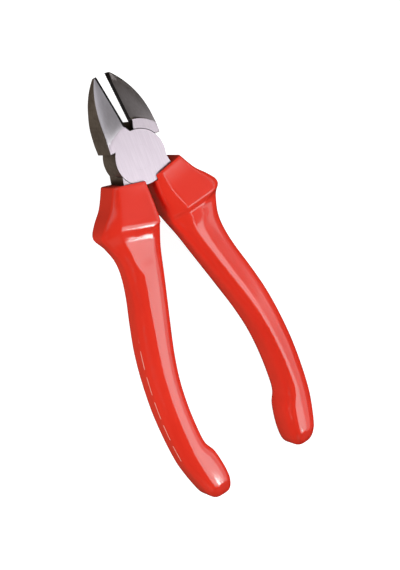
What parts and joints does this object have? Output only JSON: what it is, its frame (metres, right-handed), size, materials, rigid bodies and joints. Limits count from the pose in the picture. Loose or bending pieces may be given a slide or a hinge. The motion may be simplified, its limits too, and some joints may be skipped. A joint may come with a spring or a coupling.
{
  "type": "diagonal cutting pliers",
  "caption": "Diagonal cutting pliers with a lapped steel head, hollow-ground cutting jaws on a flush rivet and thick red moulded handle grips with guards and finger stops.",
  "frame": {"origin": "bottom centre of the outline, on the plane that the grips lie on", "axes": "+Y along the tool towards the jaw tips, +Z along the rivet out of the front face, +X to the right seen from the front"},
  "size_m": [0.0614, 0.1594, 0.0156],
  "materials": {
    "steel": "ground bright on the faces, dark on the forged sides",
    "rivet_steel": "ground flush",
    "grip": "glossy moulded"
  },
  "bodies": {
    "front": {"front_half": "steel", "pivot_rivet": "rivet_steel", "right_grip": "grip"},
    "rear": {"rear_half": "steel", "left_grip": "grip"}
  },
  "joints": [
    {"name": "pivot", "type": "hinge", "parent": "front", "child": "rear", "pos_m": [0, 0.04855, 0.0078], "axis": [0, 0, -1], "range_deg": [-6.15, 34]}
  ]
}
